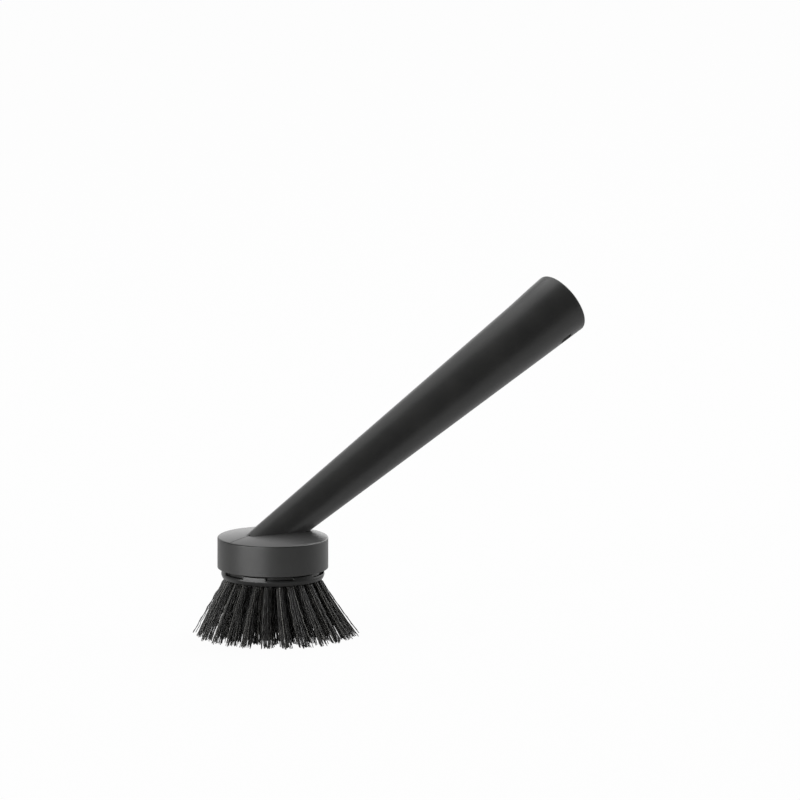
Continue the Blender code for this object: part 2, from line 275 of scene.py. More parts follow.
mouldedLook = {
    # scale, detail and roughness of each noise
    "grain": (5200.0, 2.0, 0.60),        # spark-eroded grain, about 0.2 mm
    "flow": (55.0, 3.0, 0.55),           # broad tone changes left by the melt's flow
    "scuff": (900.0, 4.0, 0.70),
    "flowTone": 0.55, "scuffTone": 0.25, "grainTone": 0.20, "toneFrom": 0.36, "toneTo": 0.64,
    "glossier": 0.05, "flowRoughness": 0.07, "grainRoughness": 0.05,
    "grainBump": 0.8, "scuffBump": 0.2, "bumpHeight": 0.00006,
}
plastics = {
    "handlePlastic": {"dark": (0.0186, 0.0188, 0.0185), "light": (0.0238, 0.0238, 0.0230),
                      "roughness": 0.36, "grain": 0.16, "shine": 0.50},
    "plugPlastic": {"dark": (0.0190, 0.0192, 0.0190), "light": (0.0240, 0.0240, 0.0232),
                    "roughness": 0.42, "grain": 0.16, "shine": 0.50},
    "blockPlastic": {"dark": (0.0095, 0.0096, 0.0095), "light": (0.0130, 0.0130, 0.0127),
                     "roughness": 0.30, "grain": 0.10, "shine": 0.33},
}


def mouldedPlastic(name):
    look, plastic = mouldedLook, plastics[name]
    material, tree, shader = newMaterial(name)
    place = addNode(tree, "ShaderNodeTexCoord", outlet="Object")
    grain, flow, scuff = (addNoise(tree, place, *look[kind]) for kind in ("grain", "flow", "scuff"))
    tone = (flow * look["flowTone"] + scuff * look["scuffTone"] + grain * look["grainTone"]).ramp(
        look["toneFrom"], look["toneTo"])
    plug(mixColours(tree, tone, plastic["dark"], plastic["light"]), shader.inputs["Base Color"])
    base = plastic["roughness"] - look["glossier"]
    plug(base + flow * look["flowRoughness"] + grain * look["grainRoughness"], shader.inputs["Roughness"])
    bump = addNode(tree, "ShaderNodeBump", Strength=plastic["grain"], Distance=look["bumpHeight"],
                   Height=grain * look["grainBump"] + scuff * look["scuffBump"])
    plug(bump, shader.inputs["Normal"])
    shader.inputs["Specular IOR Level"].default_value = plastic["shine"]
    return material


# the pale colour, mixed into strands by their tone and banded along the crimp, is painted highlight, not the
# nylon's own colour
filamentLook = {
    "dark": (0.0050, 0.0050, 0.0050), "paintedGlint": (0.2000, 0.1960, 0.1810),
    "paintedGlintFrom": 0.60, "paintedGlintTo": 1.00, "paintedGlintLeast": 0.07,
    "crimpPitch": 0.00115, "crimpShare": 0.75, "crimpHeight": 0.00006, "crimpBump": 0.8,
    "roughness": 0.30, "toneRoughness": 0.16, "shine": 0.50,
}


def filamentPlastic(name):
    # drawn nylon; strandMap holds the strand's own tone across and the way along it. The pale colour in some
    # strands and the light bands along the crimp are painted highlights, standing in for the glints on the round
    # filaments
    look = filamentLook
    material, tree, shader = newMaterial(name)
    strand = addNode(tree, "ShaderNodeUVMap", {"uv_map": "strandMap"})
    tone = addNode(tree, "ShaderNodeSeparateXYZ", i0=strand, outlet="X")
    along = tone.outlet("Y")
    crimp = (along * (2 * math.pi / look["crimpPitch"])).math("SINE") * 0.5 + 0.5
    # the crimp's share of the colour paints light bands along each strand: painted highlight
    crimpGlintBands = (1 - look["crimpShare"]) + crimp * look["crimpShare"]
    # how much of the pale colour a strand takes, by its random tone, is painted highlight
    paintedGlint = look["paintedGlintLeast"] + tone.ramp(look["paintedGlintFrom"], look["paintedGlintTo"]) * (1 - look["paintedGlintLeast"])
    plug(mixColours(tree, paintedGlint * crimpGlintBands, look["dark"], look["paintedGlint"]), shader.inputs["Base Color"])
    bump = addNode(tree, "ShaderNodeBump", Strength=look["crimpBump"], Distance=look["crimpHeight"],
                   Height=crimp)
    plug(bump, shader.inputs["Normal"])
    plug(look["roughness"] + tone * look["toneRoughness"], shader.inputs["Roughness"])
    shader.inputs["Specular IOR Level"].default_value = look["shine"]
    return material


handlePlastic = mouldedPlastic("handlePlastic")
plugPlastic = mouldedPlastic("plugPlastic")
blockPlastic = mouldedPlastic("blockPlastic")
bristlePlastic = filamentPlastic("bristlePlastic")
print("materials ready")


# head and handle: one moulding

head = {
    "radius": 0.0277, "rimZ": 0.0500, "mouthZ": 0.03435, "sides": 192,
    "crownRadius": 0.0269, "crownRise": 0.0030, "crownRings": 14,
    "rimRound": 0.00055, "rimSteps": 5, "mouthRound": 0.00030, "mouthSteps": 3,
    "cavityRadius": 0.0249, "ceilingZ": 0.0474, "ceilingRings": 8, "overrun": 0.0020,
}
# ledges inside the head, each with a stop on top of one end
bayonet = {
    "count": 3, "start": 60.0, "sunk": 0.0004,
    "ledgeInner": 0.0226, "ledgeBottomZ": 0.03635, "ledgeTopZ": 0.03855,
    "ledgeSpan": 46.0, "ledgeSteps": 12,
    "stopInner": 0.0229, "stopTopZ": 0.04105, "stopTurn": 19.7, "stopSpan": 4.0, "stopSteps": 2,
}
shaft = {
    "axisZ": 0.05035, "rise": 27.66, "length": 0.2075, "rootLength": 0.0170, "sides": 160,
    "rootRadius": 0.00904, "endRadius": 0.01612, "endRound": 0.0009, "endSteps": 7,
    "wall": 0.0015, "boreStart": 0.0180, "boreRound": 0.0030, "boreSteps": 5,
    "flare": 0.00015, "lift": 0.00025, "flareStart": 0.0260, "flareEnd": 0.0060, "flareRings": 8,
}
# the hanging slot runs across the underside; a thin web parts it from a small window at each end
slot = {"fromEnd": 0.0126, "length": 0.0066, "width": 0.0152, "depth": 0.0090,
        "corner": 0.0030, "cornerSteps": 9}
window = {"from": 0.00825, "to": 0.0124, "depth": 0.0084, "corner": 0.0012, "outShare": 0.8}
# the wedge stands as far out of the crown as it cuts in, so it is twice this wide there
partingLine = {"from": -0.0135, "to": -0.0290, "steps": 16, "halfWidth": 0.00022, "depth": 0.00030}

shaftTaper = (shaft["endRadius"] - shaft["rootRadius"]) / shaft["length"]


def domeRise(radius, fullRadius, rise):
    # how far a shallow dome stands over its rim
    return rise * (1 - (radius / fullRadius) ** 2)


def crownZ(radius):
    return head["rimZ"] + domeRise(radius, head["crownRadius"], head["crownRise"])


def shaftRadius(along):
    return shaft["rootRadius"] + shaftTaper * along


def makeDrum(name, radius, bottomZ, topZ, sides, turn=0.0):
    # upright about z, between two heights
    deselectAll()
    bpy.ops.mesh.primitive_cylinder_add(
        vertices=sides, radius=radius, depth=topZ - bottomZ, end_fill_type="NGON",
        location=(0, 0, (topZ + bottomZ) / 2), rotation=(0, 0, turn))
    piece = takeNew(name)
    placeInMesh(piece)
    return piece


def makeCone(name, bottomRadius, topRadius, bottomZ, topZ, sides, turn=0.0):
    deselectAll()
    bpy.ops.mesh.primitive_cone_add(
        vertices=sides, radius1=bottomRadius, radius2=topRadius, depth=topZ - bottomZ, end_fill_type="NGON",
        location=(0, 0, (topZ + bottomZ) / 2), rotation=(0, 0, turn))
    piece = takeNew(name)
    placeInMesh(piece)
    return piece


def domeFace(z, up, radius, heightAt, rings):
    # insets the flat end at z ring by ring, and lifts each ring to the dome
    pickFlat(z, up)
    step = radius / rings
    for ring in range(1, rings):
        bpy.ops.mesh.inset(thickness=step)
        slide(z=heightAt(radius - ring * step) - heightAt(radius - (ring - 1) * step))


def makeHead():
    edgeZ = crownZ(head["radius"])
    piece = makeDrum("handleMoulding", head["radius"], head["mouthZ"], edgeZ, head["sides"])
    startEdit(piece)
    domeFace(edgeZ, 1, head["radius"], crownZ, head["crownRings"])
    pickRim(edgeZ)
    roundEdges(head["rimRound"], head["rimSteps"])
    pickRim(head["mouthZ"])
    roundEdges(head["mouthRound"], head["mouthSteps"])
    endEdit()
    return piece


def makeCavity():
    halfStep = math.pi / head["sides"]
    tool = makeDrum("headCavity", head["cavityRadius"], head["mouthZ"] - head["overrun"], head["ceilingZ"],
                    head["sides"], halfStep)
    startEdit(tool)
    domeFace(head["ceilingZ"], 1, head["cavityRadius"],
             lambda radius: domeRise(radius, head["cavityRadius"], head["crownRise"]), head["ceilingRings"])
    endEdit()
    return tool


def makeSector(name, inner, outer, bottomZ, topZ, middle, span, steps):
    # a block that follows the head's wall: a rectangle spun about the axis
    deselectAll()
    bpy.ops.mesh.primitive_plane_add(size=1.0, rotation=(math.pi / 2, 0, 0))
    piece = takeNew(name)
    piece.scale = (outer - inner, topZ - bottomZ, 1.0)
    piece.location = ((outer + inner) / 2, 0, (topZ + bottomZ) / 2)
    placeInMesh(piece)
    piece.rotation_euler.z = math.radians(middle - span / 2)
    placeInMesh(piece)
    startEdit(piece)
    bpy.ops.mesh.select_all(action="SELECT")
    bpy.ops.mesh.spin(steps=steps, angle=math.radians(span), center=(0, 0, 0), axis=(0, 0, 1))
    bpy.ops.mesh.select_all(action="SELECT")
    bpy.ops.mesh.remove_doubles(threshold=tolerance["spinDoubles"])
    bpy.ops.mesh.normals_make_consistent(inside=False)
    endEdit()
    return piece


def swellEnd(high):
    # the last stretch swells a little, more on top: rings first, then each ring and all beyond it moves
    count = shaft["flareRings"]
    flareLength = shaft["flareStart"] - shaft["flareEnd"]
    rings = [high - shaft["flareStart"] + flareLength * step / count for step in range(count + 1)]
    for ringZ in rings:
        bpy.ops.mesh.select_all(action="SELECT")
        bpy.ops.mesh.bisect(plane_co=(0, 0, ringZ), plane_no=(0, 0, 1))
    swollen = 0.0
    for step, ringZ in enumerate(rings):
        share = step / count
        grown = shaft["flare"] * share * share * (3 - 2 * share)
        pickEdges(lambda a, b: min(a.z, b.z) > ringZ - tolerance["sameHeight"])
        widen(1 + (grown - swollen) / shaft["endRadius"])
        slide(x=-shaft["lift"] * (grown - swollen) / shaft["flare"])
        swollen = grown


def cutSlot(piece, x, y, z, depth, width, corner):
    # a round-cornered box through the wall of the upright shaft
    deselectAll()
    bpy.ops.mesh.primitive_cube_add(size=1.0)
    tool = takeNew("slotTool")
    tool.scale = (depth, width, slot["length"])
    placeInMesh(tool)
    startEdit(tool)
    pickEdges(lambda a, b: a.x * b.x < 0)
    roundEdges(corner, slot["cornerSteps"])
    endEdit()
    tool.location = (x, y, z)
    combine(piece, tool, "DIFFERENCE")


def layOver(piece):
    # from upright to the handle's rise
    piece.rotation_euler = (0, math.radians(90 - shaft["rise"]), 0)
    piece.location = (0, 0, shaft["axisZ"])
    placeInMesh(piece)


def makeShaft():
    # stood upright about z, shaped, then laid over
    low, high = -shaft["rootLength"], shaft["length"]
    piece = makeCone("handleShaft", shaftRadius(low), shaft["endRadius"], low, high, shaft["sides"],
                     math.pi / shaft["sides"])
    startEdit(piece)
    swellEnd(high)
    pickRim(high)
    roundEdges(shaft["endRound"], shaft["endSteps"])
    # the bore: a lip, then straight in along the same taper
    boreEnd = shaft["endRadius"] - shaft["wall"]
    boreStart = shaftRadius(shaft["boreStart"]) - shaft["wall"]
    pickFlat(high, also=lambda middle: flatDistance(middle) < tolerance["centred"])
    bpy.ops.mesh.inset(thickness=shaft["endRadius"] + shaft["flare"] - shaft["endRound"] - boreEnd)
    pull(z=-(high - shaft["boreStart"]))
    widen(boreStart / boreEnd, shaft["boreStart"])
    pickRim(shaft["boreStart"])
    roundEdges(shaft["boreRound"], shaft["boreSteps"])
    endEdit()

    slotZ = high - slot["fromEnd"]
    slotX = shaftRadius(slotZ)
    cutSlot(piece, slotX, 0.0, slotZ, slot["depth"], slot["width"], slot["corner"])
    windowY = (window["from"] + window["to"]) / 2
    for y in (-windowY, windowY):
        cutSlot(piece, slotX * window["outShare"], y, slotZ, window["depth"], window["to"] - window["from"],
                window["corner"])
    layOver(piece)
    return piece


def makePartingLine():
    # a fine wedge that follows the crown from the handle's heel over the rim
    deselectAll()
    bpy.ops.mesh.primitive_circle_add(vertices=3, radius=1.0, fill_type="NGON",
                                      rotation=(math.pi / 2, 0, math.pi / 2))
    tool = takeNew("partingLine")
    placeInMesh(tool)
    start, end, steps = partingLine["from"], partingLine["to"], partingLine["steps"]
    topHalf, depth = 2 * partingLine["halfWidth"], partingLine["depth"]
    for vert, (y, z) in zip(tool.data.vertices, [(-topHalf, depth), (topHalf, depth), (0.0, -depth)]):
        vert.co = (start, y, crownZ(start) + z)
    startEdit(tool)
    bpy.ops.mesh.select_mode(type="FACE")
    bpy.ops.mesh.select_all(action="SELECT")
    for step in range(steps):
        here = start + (end - start) * step / steps
        there = start + (end - start) * (step + 1) / steps
        pull(x=there - here, z=crownZ(there) - crownZ(here))
    bpy.ops.mesh.select_all(action="SELECT")
    bpy.ops.mesh.normals_make_consistent(inside=False)
    endEdit()
    return tool


moulding = makeHead()
combine(moulding, makeShaft(), "UNION")
combine(moulding, makeCavity(), "DIFFERENCE")
sectorOuter = head["cavityRadius"] + bayonet["sunk"]
for index in range(bayonet["count"]):
    middle = bayonet["start"] + 360 / bayonet["count"] * index
    ledge = makeSector("ledge", bayonet["ledgeInner"], sectorOuter, bayonet["ledgeBottomZ"],
                       bayonet["ledgeTopZ"], middle, bayonet["ledgeSpan"], bayonet["ledgeSteps"])
    combine(moulding, ledge, "UNION")
    stop = makeSector("stop", bayonet["stopInner"], sectorOuter, bayonet["ledgeTopZ"] - bayonet["sunk"],
                      bayonet["stopTopZ"], middle + bayonet["stopTurn"], bayonet["stopSpan"],
                      bayonet["stopSteps"])
    combine(moulding, stop, "UNION")
combine(moulding, makePartingLine(), "DIFFERENCE")
cleanUp(moulding)
shadeRound(moulding)
finishPiece(moulding, handlePlastic, "handle", ["handle"])
print("handle moulding:", len(moulding.data.polygons), "faces")


# end plug

endPlug = {
    "sides": 128, "recess": 0.0005, "thickness": 0.0014, "skirt": 0.0045, "skirtWall": 0.0012,
    "gap": 0.00012, "edge": 0.00030, "edgeSteps": 3, "edgeReach": 0.0001,
    "dish": 0.00025, "dishRings": 4, "gatePad": 0.0014, "gate": 0.0008, "gateDepth": 0.00025,
}


def makePlug():
    outerZ = shaft["length"] - endPlug["recess"]
    skirtZ = outerZ - endPlug["skirt"]
    topRadius = shaftRadius(outerZ) - shaft["wall"] - endPlug["gap"]
    piece = makeCone("endPlug", topRadius - shaftTaper * endPlug["skirt"], topRadius, skirtZ, outerZ,
                     endPlug["sides"])
    startEdit(piece)
    # hollow below, leaving the skirt
    pickFlat(skirtZ, -1)
    bpy.ops.mesh.inset(thickness=endPlug["skirtWall"])
    pull(z=endPlug["skirt"] - endPlug["thickness"])
    # a slightly dished face with the gate's small dimple in its middle
    pickFlat(outerZ)
    rings = endPlug["dishRings"]
    for ring in range(1, rings + 1):
        bpy.ops.mesh.inset(thickness=(topRadius - endPlug["gatePad"]) / rings)
        slide(z=-endPlug["dish"] * (1 - ring / (rings + 1)) / 2)
    bpy.ops.mesh.inset(thickness=endPlug["gatePad"] - endPlug["gate"])
    pull(z=-endPlug["gateDepth"])
    pickRim(outerZ, lambda a, b: flatDistance(a) > topRadius - endPlug["edgeReach"])
    roundEdges(endPlug["edge"], endPlug["edgeSteps"])
    endEdit()
    # the bore's mouth is lifted with the handle's end
    piece.location.x = -shaft["lift"]
    placeInMesh(piece)
    layOver(piece)
    return piece


plugPiece = makePlug()
shadeRound(plugPiece)
finishPiece(plugPiece, plugPlastic, "handle", ["end_cap"])
print("end plug:", len(plugPiece.data.polygons), "faces")


# refill block

block = {
    "radius": 0.0258, "sides": 180, "faceZ": 0.0288,
    "faceRadius": 0.0237, "faceBulge": 0.0012, "faceRings": 9,
    "chamfer": 0.0021, "chamferSteps": 2, "chamferRound": 0.0004, "roundSteps": 4,
    "draft": 0.09,      # inwards for each unit of height
    "lipTopZ": 0.0321, "topZ": 0.0335, "padDepth": 0.0018, "pads": 6, "padStart": 30.0, "padSpan": 28.0,
    "hubRadius": 0.0221, "hubTopZ": 0.0460, "lugRadius": 0.0244, "lugBottomZ": 0.03885, "lugTopZ": 0.04105,
    "lugs": 3, "lugStart": 60.0, "lugSpan": 34.0,
    "edge": 0.00022, "edgeSteps": 2, "edgeFrom": 50.0,
}
tuftHole = {"radius": 0.00165, "depth": 0.0045, "overrun": 0.003, "sides": 20}
outerRing = {"radius": 0.0223, "tilt": 26.5}
# share: how much of the outer ring's radius and tilt; turn: how much of a step from tuft to tuft
tuftRings = [
    {"node": "tuft_outer", "piece": "tuftOuter", "count": 24,
     "share": 1.0, "turn": 0.0, "filaments": 31},
    {"node": "tuft_middle", "piece": "tuftMiddle", "count": 18,
     "share": 0.75, "turn": 0.5, "filaments": 28},
    {"node": "tuft_inner", "piece": "tuftInner", "count": 12,
     "share": 0.5, "turn": 0.0, "filaments": 25},
]
coreRings = [
    {"count": 6, "share": 0.25, "turn": 0.5, "filaments": 24},
    {"count": 1, "share": 0.0, "turn": 0.0, "filaments": 24},
]


def faceZ(radius):
    return block["faceZ"] - domeRise(radius, block["faceRadius"], block["faceBulge"])


def tuftFrame(share, azimuth, leanMore=0.0, swing=0.0):
    # where a tuft leaves the face; it grows along its own -z
    radius = outerRing["radius"] * share
    lean = math.radians(outerRing["tilt"]) * share + leanMore
    return (Matrix.Rotation(azimuth, 4, "Z") @ Matrix.Translation((radius, 0, faceZ(radius)))
            @ Matrix.Rotation(-lean, 4, "Y") @ Matrix.Rotation(swing, 4, "X"))


def azimuths(ring):
    return [2 * math.pi * (index + ring["turn"]) / ring["count"] for index in range(ring["count"])]


def inSpan(point, count, start, span):
    # whether the point's azimuth lies in one of the evenly spaced spans
    angle = math.degrees(math.atan2(point.y, point.x)) - start
    pitch = 360 / count
    return abs((angle + pitch / 2) % pitch - pitch / 2) < span / 2


def onPad(point):
    return inSpan(point, block["pads"], block["padStart"], block["padSpan"])


def onLug(point):
    return inSpan(point, block["lugs"], block["lugStart"], block["lugSpan"])


def makeBlock():
    piece = makeDrum("refillBlock", block["radius"], block["faceZ"], block["lipTopZ"], block["sides"])
    startEdit(piece)
    pickRim(block["faceZ"])
    roundEdges(block["chamfer"], block["chamferSteps"])
    chamferTop = block["faceZ"] + block["chamfer"]
    pickRim(chamferTop)
    roundEdges(block["chamferRound"], block["roundSteps"])
    domeFace(block["faceZ"], -1, block["faceRadius"], faceZ, block["faceRings"])
    # the wall leans in on its way up
    lipRadius = block["radius"] - block["draft"] * (block["lipTopZ"] - chamferTop)
    padRadius = block["radius"] - block["draft"] * (block["topZ"] - chamferTop)
    pickRim(block["lipTopZ"])
    widen(lipRadius / block["radius"])
    # the pads and the middle rise together, then the hub in steps at the lugs' heights
    groove = lipRadius - block["padDepth"]
    pickFlat(block["lipTopZ"])
    bpy.ops.mesh.inset(thickness=block["padDepth"])
    pickFlat(block["lipTopZ"], also=lambda middle: flatDistance(middle) < groove / 2 or onPad(middle))
    pull(z=block["topZ"] - block["lipTopZ"])
    pickRim(block["topZ"], lambda a, b: min(flatDistance(a), flatDistance(b)) > (groove + lipRadius) / 2)
    widen(padRadius / lipRadius)
    pickFlat(block["topZ"], also=lambda middle: flatDistance(middle) < groove / 2)
    bpy.ops.mesh.inset(thickness=groove - block["hubRadius"])
    pull(z=block["lugBottomZ"] - block["topZ"])
    pull(z=block["lugTopZ"] - block["lugBottomZ"])
    pull(z=block["hubTopZ"] - block["lugTopZ"])
    lugMiddleZ = (block["lugTopZ"] + block["lugBottomZ"]) / 2
    pickFaces(lambda middle, normal: near(middle.z, lugMiddleZ) and abs(normal.z) < tolerance["upright"]
              and onLug(middle))
    pull()
    widen(block["lugRadius"] / block["hubRadius"], lugMiddleZ)
    # soft edges all over, as a mould leaves them
    bpy.ops.mesh.select_all(action="DESELECT")
    bpy.ops.mesh.select_mode(type="EDGE")
    bpy.ops.mesh.edges_select_sharp(sharpness=math.radians(block["edgeFrom"]))
    roundEdges(block["edge"], block["edgeSteps"])
    endEdit()
    return piece


def makeHoleTool():
    # one drill, copied to every tuft
    bottomZ = -tuftHole["overrun"]
    drill = makeDrum("drill", tuftHole["radius"], bottomZ, tuftHole["depth"], tuftHole["sides"])
    drills = []
    for ring in tuftRings + coreRings:
        for azimuth in azimuths(ring):
            copy = bpy.data.objects.new("drillCopy", drill.data.copy())
            copy.data.transform(tuftFrame(ring["share"], azimuth))
            bpy.context.scene.collection.objects.link(copy)
            drills.append(copy)
    bpy.data.objects.remove(drill, do_unlink=True)
    makeActive(drills[0])
    for copy in drills:
        copy.select_set(True)
    bpy.ops.object.join()
    return bpy.context.object


blockPiece = makeBlock()
combine(blockPiece, makeHoleTool(), "DIFFERENCE")
cleanUp(blockPiece)
shadeRound(blockPiece)
finishPiece(blockPiece, blockPlastic, "refill", ["refill_block"])
print("refill block:", len(blockPiece.data.polygons), "faces")


# bristles: every tuft is a fanned bundle of stiff crimped filaments

bristle = {
    "radius": 0.000215, "tipRadius": 0.000190, "segments": 17, "sides": 5,
    "length": 0.030, "sunk": 0.0030, "floorGap": 0.00002, "fitRounds": 3,
    "bundleRadius": 0.00128, "rootJitter": 0.00002, "fan": 3.1, "slopeJitter": 0.50,
    "bend": 0.0003, "fullBendAt": 0.028, "drift": (0.0010, -0.0007), "reach": 0.0433,
    "crimp": 0.00020, "crimpShares": (0.5, 1.3), "crimpFullAt": 0.003,
    "crimpLength": 0.0068, "crimpLengthShares": (0.85, 1.25), "crimpShift": (0.9, 0.5),
    "leanMore": 1.7, "leanJitter": 0.48, "swingJitter": 0.64,
    "strayShare": 0.02, "strayAngle": 4.5, "strayLeast": 0.4,
    # how high the tips end: up to this share of the draws, from, to
    "tipBands": [(0.70, 0.0000, 0.0005), (0.95, 0.0004, 0.0013), (1.00, 0.0012, 0.0026)],
}
anyTurn = 6.28                   # a random angle goes up to this
sunflowerTurn = 2.39996          # from one root to the next, as seeds stand
sideHint = (0.37, 0.82, 0.44)    # no filament runs this way


def tipHeight(rng):
    # most tips lie in the trimmed plane, some fall short of it
    roll = rng.random()
    for share, low, high in bristle["tipBands"]:
        if roll < share:
            return rng.uniform(low, high)


def strandPath(rng, frameMatrix, rootX, rootY):
    # points of one filament, from inside its hole to its tip, and its length
    spread = math.hypot(rootX, rootY) / bristle["bundleRadius"]
    outward = math.atan2(rootY, rootX)
    angle = math.radians(bristle["fan"]) * spread
    if rng.random() < bristle["strayShare"]:
        angle += math.radians(rng.uniform(bristle["strayLeast"], 1.0) * bristle["strayAngle"])
    slopeJitter = math.radians(bristle["slopeJitter"])
    slopeX = math.tan(angle) * math.cos(outward) + rng.gauss(0, slopeJitter)
    slopeY = math.tan(angle) * math.sin(outward) + rng.gauss(0, slopeJitter)
    bendX, bendY = rng.gauss(0, bristle["bend"]), rng.gauss(0, bristle["bend"])
    wave = 2 * math.pi / (bristle["crimpLength"] * rng.uniform(*bristle["crimpLengthShares"]))
    phase, waveTurn = rng.uniform(0, anyTurn), rng.uniform(0, anyTurn)
    swell = bristle["crimp"] * rng.uniform(*bristle["crimpShares"])
    target = tipHeight(rng)
    rotation = np.array(frameMatrix.to_3x3())
    origin = np.array(frameMatrix.translation)
    steps = np.linspace(0.0, 1.0, bristle["segments"] + 1)
    length = bristle["length"]
    for fitRound in range(bristle["fitRounds"]):
        run = steps * (length + bristle["sunk"]) - bristle["sunk"]
        free = np.clip(run, 0.0, None)
        crimp = swell * (np.sin(free * wave + phase) - math.sin(phase))
        crimp = crimp * np.clip(free / bristle["crimpFullAt"], 0.0, 1.0)
        bent = (free / bristle["fullBendAt"]) ** 2
        x = rootX + slopeX * free + bendX * bent + crimp * math.cos(waveTurn)
        y = rootY + slopeY * free + bendY * bent + crimp * math.sin(waveTurn)
        points = origin + np.stack([x, y, -run], axis=1) @ rotation.T
        points[:, 0] += bristle["drift"][0] * bent
        points[:, 1] += bristle["drift"][1] * bent
        # longer or shorter, so that the tip ends at its height
        length *= (origin[2] - target) / (origin[2] - points[-1, 2])
    points[:, 2] = np.maximum(points[:, 2], bristle["floorGap"])
    return points, length


def strandMesh(points, rng):
    # a slim tube round its path, closed at both ends
    axis = points[-1] - points[0]
    axis /= np.linalg.norm(axis)
    side = np.cross(axis, sideHint)
    side /= np.linalg.norm(side)
    other = np.cross(axis, side)
    count = bristle["sides"]
    angles = rng.uniform(0, anyTurn) + np.arange(count) * 2 * np.pi / count
    radii = np.linspace(bristle["radius"], bristle["tipRadius"], len(points))
    ringShape = np.cos(angles)[:, None] * side + np.sin(angles)[:, None] * other
    verts = points[:, None, :] + radii[:, None, None] * ringShape[None, :, :]
    verts[:, :, 2] = np.maximum(verts[:, :, 2], 0.0)
    return verts.reshape(-1, 3)


def strandFaces(rings):
    count = bristle["sides"]
    faces = [tuple(range(count - 1, -1, -1))]
    for ring in range(rings - 1):
        low, high = ring * count, (ring + 1) * count
        for corner in range(count):
            following = (corner + 1) % count
            faces.append((low + corner, low + following, high + following, high + corner))
    faces.append(tuple((rings - 1) * count + corner for corner in range(count)))
    return faces


oneStrandFaces = strandFaces(bristle["segments"] + 1)


def packedRoots(rng, number):
    # sunflower packing, a little shaken, fills the hole evenly
    turn = rng.uniform(0, anyTurn)
    for index in range(number):
        radius = bristle["bundleRadius"] * math.sqrt((index + 0.5) / number)
        angle = turn + index * sunflowerTurn
        yield (radius * math.cos(angle) + rng.gauss(0, bristle["rootJitter"]),
               radius * math.sin(angle) + rng.gauss(0, bristle["rootJitter"]))


def makeTuft(name, places, rng):
    # places is a list of (frame, filaments); a filament whose tip would end past the reach is left out
    verts, faces, tones, lengths = [], [], [], []
    count = 0
    shiftX, shiftY = bristle["crimpShift"]
    for frameMatrix, number in places:
        for rootX, rootY in packedRoots(rng, number):
            points, length = strandPath(rng, frameMatrix, rootX, rootY)
            if np.hypot(*(points[-1, :2] - bristle["drift"])) > bristle["reach"]:
                continue
            tube = strandMesh(points, rng)
            verts.append(tube)
            faces += [tuple(corner + count for corner in face) for face in oneStrandFaces]
            count += len(tube)
            # each strand's random tone sets its roughness and its share of the painted highlight colour; its way
            # along, shifted across the bundle, sets both the crimp bump and the painted highlight bands
            tones += [rng.random()] * len(tube)
            along = np.linspace(0.0, length, len(points)) + rootX * shiftX + rootY * shiftY
            lengths += list(np.repeat(along, bristle["sides"]))
    mesh = bpy.data.meshes.new(name)
    mesh.from_pydata(np.concatenate(verts).tolist(), [], faces)
    strandMap = mesh.uv_layers.new(name="strandMap")
    corners = np.zeros(len(mesh.loops), dtype=np.int32)
    mesh.loops.foreach_get("vertex_index", corners)
    values = np.stack([np.array(tones)[corners], np.array(lengths)[corners]], axis=1)
    strandMap.data.foreach_set("uv", values.astype(np.float32).ravel())
    mesh.shade_smooth()
    piece = bpy.data.objects.new(name, mesh)
    bpy.context.scene.collection.objects.link(piece)
    return piece


strands = random.Random(41)
faceCount = 0
for ring in tuftRings:
    for index, azimuth in enumerate(azimuths(ring), start=1):
        lean = math.radians(strands.gauss(0, bristle["leanJitter"]) + bristle["leanMore"] * ring["share"])
        swing = math.radians(strands.gauss(0, bristle["swingJitter"]))
        place = tuftFrame(ring["share"], azimuth, lean, swing)
        tuft = makeTuft(f"{ring['piece']}{index:02d}", [(place, ring["filaments"])], strands)
        finishPiece(tuft, bristlePlastic, "refill", [f"{ring['node']}_{index:02d}"])
        faceCount += len(tuft.data.polygons)
corePlaces = [(tuftFrame(ring["share"], azimuth), ring["filaments"])
              for ring in coreRings for azimuth in azimuths(ring)]
core = makeTuft("tuftCore", corePlaces, strands)
finishPiece(core, bristlePlastic, "refill", ["tuft_core"])
print("bristles:", faceCount + len(core.data.polygons), "faces")


# camera: a parallel view, as through a very long lens, from a little above the brush

shot = {"azimuth": -38.1, "elevation": 11.0, "width": 0.39955, "distance": 3.0, "farEnd": 50.0,
        "aim": (0.0, 0.0, 0.050), "right": 0.0635, "up": 0.0681}


def directionTo(turn, rise):
    # in degrees, turned from the camera's own side to its right
    azimuth, rise = math.radians(shot["azimuth"] + turn), math.radians(rise)
    return Vector((math.sin(azimuth) * math.cos(rise), -math.cos(azimuth) * math.cos(rise), math.sin(rise)))


def makeCamera():
    back = directionTo(0.0, shot["elevation"])
    turn = (-back).to_track_quat("-Z", "Y")
    right, up = turn @ Vector((1, 0, 0)), turn @ Vector((0, 1, 0))
    lens = bpy.data.cameras.new("camera")
    lens.type = "ORTHO"
    lens.ortho_scale = shot["width"]
    lens.clip_end = shot["farEnd"]
    camera = bpy.data.objects.new("camera", lens)
    aim = Vector(shot["aim"]) + right * shot["right"] + up * shot["up"]
    camera.location = aim + back * shot["distance"]
    camera.rotation_euler = turn.to_euler()
    bpy.context.scene.collection.objects.link(camera)
    bpy.context.scene.camera = camera


# studio: pale paper floor, a glowing backdrop behind it, and five soft boxes

